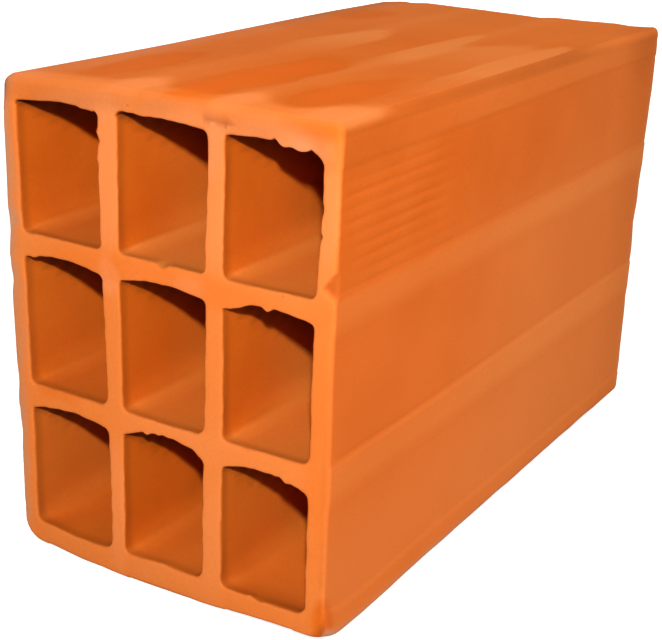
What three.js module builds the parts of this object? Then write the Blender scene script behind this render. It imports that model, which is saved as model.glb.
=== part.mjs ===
// A hollow clay block with through cells, as it comes off an extrusion die: one fired piece.
// It lies with its cells level. Units are millimetres, +X across the width, +Y along the cells,
// +Z up, and the origin is the middle of the underside.
import * as THREE from "three";

// ---- Block -------------------------------------------------------------------------------------
const WIDTH = 143; // across the cells, side face to side face
const HEIGHT = 190; // bed face to bed face
const LENGTH = 290; // along the cells, wire cut to wire cut
const CORNER_RADIUS = 5.5; // the four long outer edges

// ---- Cells -------------------------------------------------------------------------------------
const COLUMNS = 3;
const ROWS = 3;
const SIDE_WALL = 7.3; // outer walls at the two sides
const BED_WALL = 8.3; // outer walls at the underside and the top
const UPRIGHT_WEB = 7.7; // webs between the columns
const LEVEL_WEB = 7.9; // webs between the rows
const CELL_RADIUS = 3; // inner corners of each cell

// ---- Outer faces: smooth bands in line with the walls and webs, combed panels between them ------
const CORNER_BAND = 11; // smooth strip along each long edge, measured from the corner
const WEB_BAND = 10.4; // smooth strip over each web
const PANEL_RECESS = 0.5; // how far a panel lies below the bands
const PANEL_SLOPE = 0.9; // width of the slope from a band down to its panel
const GROOVE_PITCH = 4.7; // comb tooth to comb tooth, before it is spread to fill a panel
const GROOVE_WIDTH = 2.4;
const GROOVE_DEPTH = 0.6;

// ---- Fineness of the curves --------------------------------------------------------------------
const GROOVE_STEPS = 4; // straight steps across a groove
const CORNER_STEPS = 8; // straight steps round a quarter turn

const CLAY_COLOUR = 0xd96f32;
const CLAY_ROUGHNESS = 0.9;

const CELL_WIDTH = (WIDTH - 2 * SIDE_WALL - (COLUMNS - 1) * UPRIGHT_WEB) / COLUMNS;
const CELL_HEIGHT = (HEIGHT - 2 * BED_WALL - (ROWS - 1) * LEVEL_WEB) / ROWS;
const QUARTER_TURN = Math.PI / 2;

/** Middles of `count` equal cells and of the webs between them, measured from the block's middle. */
function layout(count, cell, web) {
  const pitch = cell + web;
  const cells = Array.from({ length: count }, (_, i) => (i - (count - 1) / 2) * pitch);
  const webs = cells.slice(1).map((middle) => middle - pitch / 2);
  return { cells, webs };
}

const across = layout(COLUMNS, CELL_WIDTH, UPRIGHT_WEB);
const upward = layout(ROWS, CELL_HEIGHT, LEVEL_WEB);

/** Draws one comb groove, a shallow round-bottomed channel, from where the path stands. */
function drawGroove(face, middle) {
  const half = GROOVE_WIDTH / 2;
  const floor = PANEL_RECESS + GROOVE_DEPTH;
  for (let step = 0; step <= GROOVE_STEPS; step += 1) {
    const turn = (step / GROOVE_STEPS) * Math.PI;
    const depth = PANEL_RECESS + (floor - PANEL_RECESS) * Math.sin(turn);
    face.lineTo(middle - half * Math.cos(turn), depth);
  }
}

/** Draws one combed panel from `start` to `end`: down its slope, across its grooves and up. */
function drawPanel(face, start, end) {
  const floorStart = start + PANEL_SLOPE;
  const floorEnd = end - PANEL_SLOPE;
  const first = floorStart + GROOVE_WIDTH / 2;
  const span = floorEnd - GROOVE_WIDTH / 2 - first;
  const gaps = Math.max(1, Math.floor(span / GROOVE_PITCH + 0.5));
  face.lineTo(start, 0);
  for (let groove = 0; groove <= gaps; groove += 1) {
    drawGroove(face, first + (span * groove) / gaps);
  }
  face.lineTo(end, 0);
}

/**
 * One outer face and the round corner that ends it, seen with the face underneath: x runs along the
 * face from its middle and y is the depth into the clay.
 */
function facePoints(faceLength, webMiddles) {
  const half = faceLength / 2;
  const bands = webMiddles.map((middle) => [middle - WEB_BAND / 2, middle + WEB_BAND / 2]);
  const edges = [-half + CORNER_BAND, ...bands.flat(), half - CORNER_BAND];
  const face = new THREE.Path();
  face.moveTo(CORNER_RADIUS - half, 0);
  for (let i = 0; i < edges.length; i += 2) {
    drawPanel(face, edges[i], edges[i + 1]);
  }
  face.lineTo(half - CORNER_RADIUS, 0);
  for (let step = 1; step < CORNER_STEPS; step += 1) {
    const turn = (step / CORNER_STEPS) * QUARTER_TURN;
    face.lineTo(
      half - CORNER_RADIUS * (1 - Math.sin(turn)),
      CORNER_RADIUS * (1 - Math.cos(turn)),
    );
  }
  return face.getPoints(1);
}

/** The block's outline: underside, right side, top and left side, each turned into its place. */
function outline() {
  const faces = [
    { along: WIDTH, out: HEIGHT / 2, webs: across.webs },
    { along: HEIGHT, out: WIDTH / 2, webs: upward.webs },
    { along: WIDTH, out: HEIGHT / 2, webs: across.webs },
    { along: HEIGHT, out: WIDTH / 2, webs: upward.webs },
  ];
  const middle = new THREE.Vector2(0, 0);
  return new THREE.Shape(
    faces.flatMap(({ along, out, webs }, turns) =>
      facePoints(along, webs).map((point) =>
        new THREE.Vector2(point.x, point.y - out).rotateAround(middle, turns * QUARTER_TURN),
      ),
    ),
  );
}

/** One cell's mouth: a rectangle with round inner corners. */
function cellMouth(middleX, middleZ) {
  const radius = Math.min(CELL_RADIUS, CELL_WIDTH / 2, CELL_HEIGHT / 2);
  const reachX = CELL_WIDTH / 2 - radius;
  const reachZ = CELL_HEIGHT / 2 - radius;
  const corners = [
    [reachX, reachZ],
    [-reachX, reachZ],
    [-reachX, -reachZ],
    [reachX, -reachZ],
  ];
  const mouth = new THREE.Path();
  corners.forEach(([x, z], turns) => {
    const from = turns * QUARTER_TURN;
    mouth.absarc(middleX + x, middleZ + z, radius, from, from + QUARTER_TURN);
  });
  mouth.closePath();
  return mouth;
}

/** The whole section: the outline with its grid of cells. */
function section() {
  const shape = outline();
  for (const z of upward.cells) {
    for (const x of across.cells) {
      shape.holes.push(cellMouth(x, z));
    }
  }
  return shape;
}

const firedClay = new THREE.MeshStandardMaterial({
  color: CLAY_COLOUR,
  roughness: CLAY_ROUGHNESS,
  metalness: 0,
});

const column = new THREE.ExtrudeGeometry(section(), {
  depth: LENGTH,
  bevelEnabled: false,
  curveSegments: CORNER_STEPS / 2,
});

const hollowBrick = new THREE.Mesh(column, firedClay);
hollowBrick.name = "hollow_brick";
hollowBrick.rotation.x = QUARTER_TURN;
hollowBrick.position.set(0, LENGTH / 2, HEIGHT / 2);

const block = new THREE.Group();
block.add(hollowBrick);

export default block;
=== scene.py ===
"""Looks of a hollow fired-clay wall block, built inside its construction frame.

The block is one piece of clay, pushed through a die, combed on its four outer faces, cut with a
wire at both ends and fired. The construction model gives its box; this script gives the surface:
the comb's wobble, torn lips at the mouths of the cells, chips, the wire's drag and the clay itself.

Lengths are millimetres, as on a drawing, and MM turns them into the scene's metres where they enter
it. +X runs across the block, +Y along its cells from the front cut to the back one, and +Z up.
"""

import itertools
import logging
import math
from dataclasses import dataclass, field, fields
from enum import Enum, IntEnum, auto

import bpy
import numpy as np
from mathutils import Matrix, Vector, geometry


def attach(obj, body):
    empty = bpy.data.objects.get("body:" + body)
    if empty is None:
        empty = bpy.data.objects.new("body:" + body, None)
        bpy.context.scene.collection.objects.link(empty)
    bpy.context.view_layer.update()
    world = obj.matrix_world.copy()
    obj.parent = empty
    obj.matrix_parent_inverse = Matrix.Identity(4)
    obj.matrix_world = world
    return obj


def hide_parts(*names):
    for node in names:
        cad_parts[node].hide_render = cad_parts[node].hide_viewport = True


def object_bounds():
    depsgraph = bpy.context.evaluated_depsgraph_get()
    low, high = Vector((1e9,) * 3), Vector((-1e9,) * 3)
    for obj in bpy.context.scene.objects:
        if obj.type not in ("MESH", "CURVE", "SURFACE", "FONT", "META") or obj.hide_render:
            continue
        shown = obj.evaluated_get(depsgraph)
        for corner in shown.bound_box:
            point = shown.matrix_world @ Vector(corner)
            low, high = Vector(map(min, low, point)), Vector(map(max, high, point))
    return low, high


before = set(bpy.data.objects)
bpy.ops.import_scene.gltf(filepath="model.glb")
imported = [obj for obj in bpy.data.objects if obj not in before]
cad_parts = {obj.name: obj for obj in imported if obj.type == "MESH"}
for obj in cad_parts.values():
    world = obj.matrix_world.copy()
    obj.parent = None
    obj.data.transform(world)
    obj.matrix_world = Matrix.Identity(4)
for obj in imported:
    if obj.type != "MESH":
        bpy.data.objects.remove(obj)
CAD_LOW, CAD_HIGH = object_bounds()

MM = 0.001
NODE = "hollow_brick"
BODY = "root"

# The last mask marks painted shade.
MASKS = ("cut", "lining", "groove", "pale", "deep", "broken", "worn", "painted_shade")
CUT, LINING, GROOVE, PALE, DEEP, BROKEN, WORN, PAINTED_SHADE = range(len(MASKS))
X, Y, Z = range(3)
# A lattice this wide leaves a pattern nearly the same along its axis.
FAR = 1000.0

# Where something eases in, then, if there are four values, where it eases out again.
Ramp = tuple[float, ...]
Socket = bpy.types.NodeSocket

log = logging.getLogger("clay_block")


# ---- Named choices ----


class Face(IntEnum):
    """The four outer faces, in the order in which the outline is walked."""

    UNDERSIDE = 0
    RIGHT = 1
    TOP = 2
    LEFT = 3


class Lip(Enum):
    """The four edges of a cell's mouth, with the direction from the mouth's middle."""

    BOTTOM = (0, -1)
    RIGHT = (1, 0)
    TOP = (0, 1)
    LEFT = (-1, 0)


class End(Enum):
    """The two wire-cut ends, with the way along Y from the cut into the clay."""

    FRONT = 1
    BACK = -1


class Part(Enum):
    """Stretches of the outline that are worn, or painted with shade, in their own way."""

    SKIN = auto()
    TOP = auto()
    UNDERSIDE = auto()
    SIDES = auto()
    FLANKS = auto()
    RIGHT = auto()
    RIGHT_PANELS = auto()
    UPPER_RIGHT_ARRIS = auto()
    LOWER_RIGHT_ARRIS = auto()
    UPPER_LEFT_ARRIS = auto()
    LEFT_ARRISES = auto()


# ---- Small helpers ----


def smooth(low: float, high: float, value: np.ndarray | float) -> np.ndarray:
    """Eases from 0 at `low` to 1 at `high`, whichever of them is the greater.

    Args:
        low: Value at which the result is 0.
        high: Value at which the result is 1.
        value: Values to ease.

    Returns:
        The eased values.
    """
    part = np.clip((value - low) / (high - low), 0.0, 1.0)
    return part * part * (3.0 - 2.0 * part)


def ramped(ramp: Ramp, value: np.ndarray | float) -> np.ndarray:
    """Eases in, and out again where the ramp has four values.

    Args:
        ramp: Where the result is 0 and 1, then where it is 1 and 0 again.
        value: Values to ease.

    Returns:
        The eased values.
    """
    share = smooth(ramp[0], ramp[1], value)
    return share * smooth(ramp[3], ramp[2], value) if len(ramp) == 4 else share


def hump(middle: float, width: float, value: np.ndarray | float) -> np.ndarray:
    """A round hump of height 1 at `middle` that fades out over `width` on either side."""
    return 1.0 - smooth(0.0, 1.0, np.abs(value - middle) / width)


def grain(points: np.ndarray, size: float | tuple[float, float, float], seed: int) -> np.ndarray:
    """Smooth noise between -1 and 1, from random values on a lattice, eased between its points.

    Args:
        points: Places, one a row.
        size: Lattice spacing, one for all axes or one for each.
        seed: Which of the endless patterns to take.

    Returns:
        One value for each point.
    """
    scaled = points / np.asarray(size)
    cell = np.floor(scaled).astype(np.int64)
    part = scaled - cell
    ease = part * part * (3.0 - 2.0 * part)
    total = np.zeros(len(points))
    for corner in itertools.product((0, 1), repeat=3):
        near = cell + corner
        # The usual large primes, which scatter neighbouring lattice points to unlike numbers.
        mixed = near[:, 0] * 73856093 ^ near[:, 1] * 19349663 ^ near[:, 2] * 83492791 ^ seed * 6542989
        mixed = (mixed ^ (mixed >> 13)) * 1274126177
        mixed = (mixed ^ (mixed >> 16)) & 0xFFFF
        weight = np.prod(np.where(np.array(corner) == 1, ease, 1.0 - ease), axis=1)
        total += weight * (mixed / 32767.5 - 1.0)
    return total


def at_depth(flat: np.ndarray, y: np.ndarray | float) -> np.ndarray:
    """Lifts points of the section, (x, z), to places (x, y, z)."""
    return np.column_stack([flat[:, 0], np.broadcast_to(y, len(flat)), flat[:, 1]])


def between(value: np.ndarray, stops: np.ndarray, layers: np.ndarray) -> np.ndarray:
    """Blends between layers of values that hold at given stops.

    Args:
        value: Where each point lies.
        stops: Where each layer holds, rising.
        layers: One row for each stop, one column for each point.

    Returns:
        One blended value for each point.
    """
    lower = np.clip(np.searchsorted(stops, value) - 1, 0, len(stops) - 2)
    part = np.clip((value - stops[lower]) / (stops[lower + 1] - stops[lower]), 0.0, 1.0)
    column = np.arange(len(value))
    return layers[lower, column] * (1 - part) + layers[lower + 1, column] * part


def placed(name: str, data: bpy.types.ID) -> bpy.types.Object:
    """Adds an object to the scene."""
    made = bpy.data.objects.new(name, data)
    bpy.context.scene.collection.objects.link(made)
    return made


@dataclass(frozen=True)
class Zone:
    """A soft-edged stretch of the block, with a ramp along each axis that bounds it."""

    x: Ramp | None = None
    y: Ramp | None = None
    z: Ramp | None = None

    def share(self, places: np.ndarray) -> np.ndarray:
        """How far in the zone each place lies, from 0 to 1."""
        share = np.ones(len(places))
        for values, ramp in zip(places.T, (self.x, self.y, self.z)):
            if ramp is not None:
                share *= ramped(ramp, values)
        return share


# ---- The section ----


@dataclass
class Loop:
    """One closed edge of the section, walked with the clay on its left.

    Attributes:
        flat: Places in the section, (x, z).
        outward: Unit directions out of the clay.
        along: Distance along the own side, from its middle.
        side: Which side of the loop each point is on, a Face or the index of a Lip.
        panel: 1 on a combed panel, 0 on a smooth band.
        groove: 1 at the bottom of a comb groove, 0 between grooves.
        cell: Row and column of the cell, or None for the outline.
    """

    flat: np.ndarray
    outward: np.ndarray
    along: np.ndarray
    side: np.ndarray
    panel: np.ndarray
    groove: np.ndarray
    cell: tuple[int, int] | None = None

    def thinned(self) -> "Loop":
        """The same loop with every other point."""
        kept = {item.name: getattr(self, item.name)[::2] for item in fields(self) if item.name != "cell"}
        return Loop(**kept, cell=self.cell)

    def parts(self) -> dict[Part, np.ndarray]:
        """How far each point of the outline belongs to each of its parts, from 0 to 1."""
        across, up = self.outward.T
        arris = 2 * np.abs(across * up)
        right = across > 0.9
        return {
            Part.SKIN: np.ones(len(across)),
            Part.TOP: self.side == Face.TOP,
            Part.UNDERSIDE: self.side == Face.UNDERSIDE,
            Part.SIDES: (self.side == Face.RIGHT) | (self.side == Face.LEFT),
            Part.FLANKS: np.abs(across) > 0.1,
            Part.RIGHT: right,
            Part.RIGHT_PANELS: self.panel * right,
            Part.UPPER_RIGHT_ARRIS: arris * (up > 0) * (across > 0),
            Part.LOWER_RIGHT_ARRIS: arris * (up < 0) * (across > 0),
            Part.UPPER_LEFT_ARRIS: arris * (up > 0) * (across <= 0),
            Part.LEFT_ARRISES: arris * (across <= 0),
        }


@dataclass(frozen=True)
class Section:
    """The block's section as the die leaves it, seen from the front, x to the right and z up.

    Attributes:
        width: Clear width over the bands.
        height: Clear height over them.
        corner_radii: Rounds of the outline, from the lower left corner anticlockwise.
        cell_radii: Rounds of a cell's corners for each row, in the same order.
        worn_radius: Round of the one cell corner that is worn wider.
        corner_band: Width of the smooth band at each end of a face.
        web_band: Width of the one over each web.
        panel_slope: Over what width a panel sinks from a band.
        soft_slope: The same where the clay was smeared.
        groove_pitch: About how far apart the comb's teeth are.
        band_lift: How far each higher band of the right face stands above its web.
        arches: How far each cell's roof is arched, by row and column.
    """

    width: float
    height: float
    columns: int = 3
    rows: int = 3
    side_wall: float = 7.3
    bed_wall: float = 8.3
    upright_web: float = 7.7
    level_web: float = 7.9
    corner_radii: tuple[float, ...] = (9.0, 5.0, 4.0, 3.6)
    cell_radii: tuple[tuple[float, ...], ...] = (
        (3.0, 4.4, 2.4, 1.6),
        (2.8, 4.2, 2.2, 1.6),
        (2.4, 2.8, 2.2, 1.2),
    )
    worn_radius: float = 4.6
    corner_band: float = 11.7
    web_band: float = 9.6
    panel_slope: float = 1.4
    soft_slope: float = 5.0
    groove_pitch: float = 4.9
    groove_steps: int = 6
    band_lift: float = 0.4
    arches: tuple[tuple[float, ...], ...] = ((1.8, 3.5, 2.3), (1.7, 1.5, 1.6), (1.7, 0.6, 1.3))
    band_step: float = 1.5
    lip_step: float = 1.0
    lining_step: float = 1.7
    corner_steps: int = 6

    @property
    def cell_width(self) -> float:
        """Clear width of a cell."""
        webs = (self.columns - 1) * self.upright_web
        return (self.width - 2 * self.side_wall - webs) / self.columns

    @property
    def cell_height(self) -> float:
        """Clear height of a cell."""
        webs = (self.rows - 1) * self.level_web
        return (self.height - 2 * self.bed_wall - webs) / self.rows

    def web_middles(self, face: Face) -> list[float]:
        """Middles of the webs behind a face, as distances along it from its middle."""
        if face in (Face.UNDERSIDE, Face.TOP):
            pitch, count = self.cell_width + self.upright_web, self.columns
        else:
            pitch, count = self.cell_height + self.level_web, self.rows
        return [(i + 1 - count / 2) * pitch for i in range(count - 1)]

    def cell_middle(self, row: int, column: int) -> np.ndarray:
        """Middle of a cell, (x, z)."""
        across = (column - (self.columns - 1) / 2) * (self.cell_width + self.upright_web)
        up = (row - (self.rows - 1) / 2) * (self.cell_height + self.level_web)
        return np.array([across, up + self.height / 2])

    def uprights(self) -> np.ndarray:
        """Where the upright faces stand, from the left skin to the right one."""
        middles = [self.cell_middle(0, column)[0] for column in range(self.columns)]
        edges = [middle + way * self.cell_width / 2 for middle in middles for way in (-1, 1)]
        return np.array([-self.width / 2, *edges, self.width / 2])

    def levels(self) -> np.ndarray:
        """Heights of the level faces, from the underside to the top."""
        middles = [self.cell_middle(row, 0)[1] for row in range(self.rows)]
        edges = [middle + way * self.cell_height / 2 for middle in middles for way in (-1, 1)]
        return np.array([0.0, *edges, self.height])

    def face_marks(self, face: Face, start: float, end: float) -> list[tuple[float, float, float]]:
        """Places of the outline's points along one face.

        Args:
            face: The face.
            start: Where its straight part begins, measured from its middle.
            end: Where its straight part ends.

        Returns:
            (place, panel, groove) for each point.
        """
        length = self.width if face in (Face.UNDERSIDE, Face.TOP) else self.height
        half_band = self.web_band / 2
        edges = [self.corner_band - length / 2]
        for index, middle in enumerate(self.web_middles(face)):
            lifted = middle + self.band_lift * (face == Face.RIGHT) * index
            edges += [lifted - half_band, lifted + half_band]
        edges.append(length / 2 - self.corner_band)
        marks = [(start, 0.0, 0.0)]
        for panel_start, panel_end in zip(edges[::2], edges[1::2]):
            slope = self.panel_slope if panel_end == edges[-1] else self.soft_slope
            marks += self.band_marks(marks[-1][0], panel_start)
            marks += self.panel_marks(panel_start, panel_end, slope)
        marks += self.band_marks(marks[-1][0], end)
        marks.append((end, 0.0, 0.0))
        return marks

    def band_marks(self, start: float, end: float) -> list[tuple[float, float, float]]:
        """Evenly spread points between the two borders of a smooth band."""
        count = max(1, round((end - start) / self.band_step))
        return [(start + (end - start) * i / count, 0.0, 0.0) for i in range(1, count)]

    def panel_marks(self, start: float, end: float, slope: float) -> list[tuple[float, float, float]]:
        """Points across one combed panel, packed where the grooves turn.

        Args:
            start: Where the panel begins.
            end: Where it ends.
            slope: Over what width it rises to the band at its end.

        Returns:
            (place, panel, groove) for each point.
        """
        first, last = start + self.panel_slope, end - slope
        gaps = max(1, math.floor((last - first) / self.groove_pitch + 0.5))
        pitch = (last - first) / gaps
        marks = [(start, 0.0, 0.0)]
        for i in range(gaps * self.groove_steps + 1):
            turn = 2 * math.pi * i / self.groove_steps
            place = first + pitch * i / self.groove_steps
            marks.append((place, 1.0, max(0.0, math.cos(turn)) ** 1.5))
        marks.append((end, 0.0, 0.0))
        return marks

    def outline(self) -> Loop:
        """Draws the outer edge, from the underside's left end round to the left side's foot.

        Returns:
            The loop, with its panels and grooves marked but not yet pressed in.
        """
        rows = []
        for face in Face:
            across = face in (Face.UNDERSIDE, Face.TOP)
            length = self.width if across else self.height
            out = self.height / 2 if across else self.width / 2
            radius_before = self.corner_radii[face]
            radius = self.corner_radii[(face + 1) % 4]
            quarter = face * math.pi / 2
            turn = np.array(
                [[math.cos(quarter), -math.sin(quarter)], [math.sin(quarter), math.cos(quarter)]]
            )
            end = length / 2 - radius
            for place, panel, groove in self.face_marks(face, radius_before - length / 2, end):
                rows.append((turn @ (place, -out), turn @ (0, -1), place, face, panel, groove))
            for step in range(1, self.corner_steps):
                angle = math.pi / 2 * step / self.corner_steps
                outward = np.array([math.sin(angle), -math.cos(angle)])
                at = np.array([end, radius - out]) + radius * outward
                rows.append((turn @ at, turn @ outward, at[0], face, 0.0, 0.0))
        flat, *others = (np.array(column, float) for column in zip(*rows))
        return Loop(flat + (0, self.height / 2), *others)

    def cell_edge(self, row: int, column: int) -> Loop:
        """Draws the mouth of one cell, walked clockwise, with a round corner between its lips.

        Args:
            row: The cell's row, from the bottom.
            column: Its column, from the left.

        Returns:
            The loop, with its roof arched.
        """
        half = np.array([self.cell_width, self.cell_height]) / 2
        middle = self.cell_middle(row, column)
        radii = list(self.cell_radii[row])
        if (row, column) == (self.rows - 1, self.columns - 1):
            radii[2] = self.worn_radius
        rows = []
        for index, lip in enumerate(Lip):
            out = np.array(lip.value, float)
            run = np.array([-out[1], out[0]])
            reach, depth = abs(run @ half), abs(out @ half)
            before, after = radii[index], radii[(index + 1) % 4]
            step = self.lip_step if lip is Lip.TOP else self.lining_step
            straight = 2 * reach - before - after
            count = 2 * round(straight / step / 2)
            for i in range(count):
                place = -reach + before + straight * i / count
                arch = self.arches[row][column] * (1 - (2 * i / count - 1) ** 2) * (lip is Lip.TOP)
                at = middle + run * place + out * (depth + arch)
                rows.append((at, -out, place, index, 0.0, 0.0))
            for i in range(self.corner_steps):
                angle = math.pi / 2 * i / self.corner_steps
                outward = out * math.cos(angle) + run * math.sin(angle)
                centre = middle + run * (reach - after) + out * (depth - after)
                place = reach - after + after * math.sin(angle)
                rows.append((centre + outward * after, -outward, place, index, 0.0, 0.0))
        columns = (np.array(values, float) for values in zip(*rows[::-1]))
        return Loop(*columns, cell=(row, column))


# ---- What can have happened to a block ----


@dataclass(frozen=True)
class LipFlaw:
    """A torn place on a cell's lip at the front cut.

    Attributes:
        row: Row of the cell, from the bottom.
        column: Column of the cell, from the left.
        lip: Which edge of the mouth.
        place: Distance along that edge from the cell's middle, rightwards or upwards.
        width: How far it reaches on either side.
        hang: How far clay hangs into the cell; below 0, how far a nick bites into the web.
        depth: How far it goes in from the cut.
    """

    row: int
    column: int
    lip: Lip
    place: float
    width: float
    hang: float
    depth: float = 2.5

    def drop(self, loop: Loop, middle: np.ndarray, depth: float) -> np.ndarray:
        """How far the flaw moves each point of a ring.

        Args:
            loop: The edge of the flaw's own cell.
            middle: That cell's middle.
            depth: How far the ring lies from the cut.

        Returns:
            A distance into the cell for each point.
        """
        axis = 0 if self.lip in (Lip.TOP, Lip.BOTTOM) else 1
        shape = hump(self.place, self.width, loop.flat[:, axis] - middle[axis])
        shape *= loop.side == list(Lip).index(self.lip)
        return self.hang * shape * math.exp(-((depth / self.depth) ** 2))


@dataclass(frozen=True)
class Chip:
    """A shell-shaped place where an edge has broken away.

    Attributes:
        centre: Middle of the hollow.
        radii: Its half sizes along X, Y and Z.
        way: Which way the clay gave.
        seed: Which ragged edge it gets.
        ragged: How uneven that edge is, as a share of the hollow's size.
        fresh: How much of it shows unweathered clay, in a darker paint that is partly painted shade.
        fade: Depth over which the break's tone comes in.
        crumb: Size of the crumbs along its edge.
    """

    centre: tuple[float, float, float]
    radii: tuple[float, float, float]
    way: tuple[float, float, float]
    seed: int
    ragged: float = 0.2
    fresh: float = 0.9
    fade: float = 0.5
    crumb: float = 2.2

    def bite(self, points: np.ndarray, masks: np.ndarray) -> None:
        """Moves the places inside the hollow onto its wall, and marks them as broken.

        Args:
            points: Places, one a row.
            masks: Their paint masks, in the order of MASKS.
        """
        gap = (points - np.array(self.centre)) / np.array(self.radii)
        limit = 1 + self.ragged * grain(points, self.crumb, self.seed)
        within = (gap**2).sum(1) < limit**2
        step = np.array(self.way) / np.linalg.norm(self.way)
        run = step / np.array(self.radii)
        slope = gap[within] @ run
        short = (gap[within] ** 2).sum(1) - limit[within] ** 2
        travel = (-slope + np.sqrt(slope**2 - (run @ run) * short)) / (run @ run)
        points[within] += travel[:, None] * step
        share = self.fresh * smooth(0.0, self.fade, travel)
        masks[within, BROKEN] = np.maximum(masks[within, BROKEN], share)


@dataclass(frozen=True)
class Flake:
    """A thin three-cornered scale gone from the front cut.

    Attributes:
        corners: Its corners in the section, (x, z), walked anticlockwise.
        depth: How thick it was.
        seed: Which ragged edge it leaves.
        ragged: How far that edge wanders.
        soft: How wide the slope down to it is, as a share of the depth.
        crumb: Size of the crumbs along its edge.
        reach: Ramp over which it fades out, in from the cut.
    """

    corners: tuple[tuple[float, float], tuple[float, float], tuple[float, float]]
    depth: float
    seed: int
    ragged: float = 0.6
    soft: float = 1.0
    crumb: float = 2.6
    reach: Ramp = (6, 1)

    def bite(self, points: np.ndarray, masks: np.ndarray, front: float) -> None:
        """Sinks the places under the scale, and marks them as broken.

        Args:
            points: Places, one a row.
            masks: Their paint masks, in the order of MASKS.
            front: Where the front cut stands along Y.
        """
        flat = points[:, [X, Z]]
        inner = np.full(len(points), np.inf)
        for start, end in zip(self.corners, self.corners[1:] + self.corners[:1]):
            edge = np.array(end) - np.array(start)
            inward = np.array([-edge[1], edge[0]]) / np.linalg.norm(edge)
            inner = np.minimum(inner, (flat - np.array(start)) @ inward)
        inner += self.ragged * grain(points, self.crumb, self.seed)
        share = smooth(-0.2 * self.depth, (self.soft - 0.2) * self.depth, inner)
        share *= ramped(self.reach, points[:, Y] - front)
        points[:, Y] += self.depth * share
        # The scale's place takes the darker broken tone, which stands partly for shade.
        masks[:, BROKEN] = np.maximum(masks[:, BROKEN], share * smooth(0.0, 0.2, masks[:, CUT]))


@dataclass(frozen=True)
class Shift:
    """A stretch of the block that slumped or was dented while the clay was soft.

    Attributes:
        axis: Along which axis it moved.
        amount: How far.
        zone: Which stretch it was.
    """

    axis: int
    amount: float
    zone: Zone


@dataclass(frozen=True)
class Settling:
    """How far the worn die and the soft clay left the drawn section.

    Attributes:
        shifts: Stretches that moved by themselves.
        heights: Heights at which the leans hold.
        leans: For each upright face from the left skin over, how far to the right it stands.
        lean_fade: How much of the leans is gone at the back cut.
        lean_run: Ramp along the block over which it goes.
        spans: Places across the block at which the rises hold.
        rises: For each level face from the underside up, how far above the drawing it stands.
        foot_lifts: How far the front cut's foot is turned up, and the ramp across the block.
        foot_height: Ramp over which that turn dies out upwards.
        foot_fade: How far along the block it reaches.
        rub: How unevenly the right skin's lower edge is rubbed away.
        rub_span: Length of that unevenness.
        rub_zone: Where it is.
        drift: Size of the slow waves along the walls.
        drift_spans: Length of those waves along each axis.
    """

    shifts: tuple[Shift, ...] = ()
    heights: tuple[float, ...] = (30, 95, 168)
    leans: tuple[tuple[float, ...], ...] = (
        (0.85, 0.0, -0.6),
        (0.95, 0.55, -0.95),
        (1.3, 0.0, -1.1),
        (0.15, 0.0, 0.0),
        (-1.35, -0.55, 0.6),
        (-0.4, -0.25, -0.1),
        (-1.65, -1.9, 0.6),
        (-0.6, -0.6, 0.1),
    )
    lean_fade: float = 0.8
    lean_run: Ramp = (-125, 145)
    spans: tuple[float, ...] = (-45, 0, 45)
    rises: tuple[tuple[float, ...], ...] = (
        (0.2, 0.1, 0.2),
        (1.2, 3.4, 0.2),
        (-0.4, 0.25, -0.65),
        (1.6, 1.15, 1.8),
        (0.45, -0.15, 1.2),
        (1.9, 1.6, 1.6),
        (-1.35, -0.35, -2.2),
        (0.0, 0.0, 0.0),
    )
    foot_lifts: tuple[tuple[float, Ramp], ...] = ((4.1, (-10, 80)), (1.6, (-38, -64)))
    foot_height: Ramp = (34, 4)
    foot_fade: float = 8.0
    rub: float = 0.25
    rub_span: float = 16.0
    rub_zone: Zone = Zone((58, 70), (-135, -105), (13, 4))
    drift: float = 0.3
    drift_spans: tuple[float, float, float] = (40.0, 64.0, 40.0)

    def settle(self, points: np.ndarray, section: Section, front: float) -> np.ndarray:
        """Moves drawn places to where the fired clay has them.

        Args:
            points: Drawn places, one a row.
            section: The section they were drawn with.
            front: Where the front cut stands along Y.

        Returns:
            The settled places.
        """
        x, y, z = points.T
        moved = points.copy()
        lean = np.stack([np.interp(z, self.heights, row) for row in self.leans])
        kept = 1 - self.lean_fade * ramped(self.lean_run, y)
        moved[:, X] += between(x, section.uprights(), lean) * kept
        rise = np.stack([np.interp(x, self.spans, row) for row in self.rises])
        moved[:, Z] += between(z, section.levels(), rise)
        foot = np.exp(-(((y - front) / self.foot_fade) ** 2)) * ramped(self.foot_height, z)
        for lift, ramp in self.foot_lifts:
            moved[:, Z] += lift * ramped(ramp, x) * foot
        for shift in self.shifts:
            moved[:, shift.axis] += shift.amount * shift.zone.share(points)
        rubbed = self.rub * (grain(np.column_stack([y, y, y]), self.rub_span, seed=14) - 1)
        moved[:, Z] += rubbed * self.rub_zone.share(points)
        for axis, seed in ((X, 11), (Z, 13)):
            moved[:, axis] += self.drift * grain(points, self.drift_spans, seed)
        return moved


# ---- Tones of the fired clay ----


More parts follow.
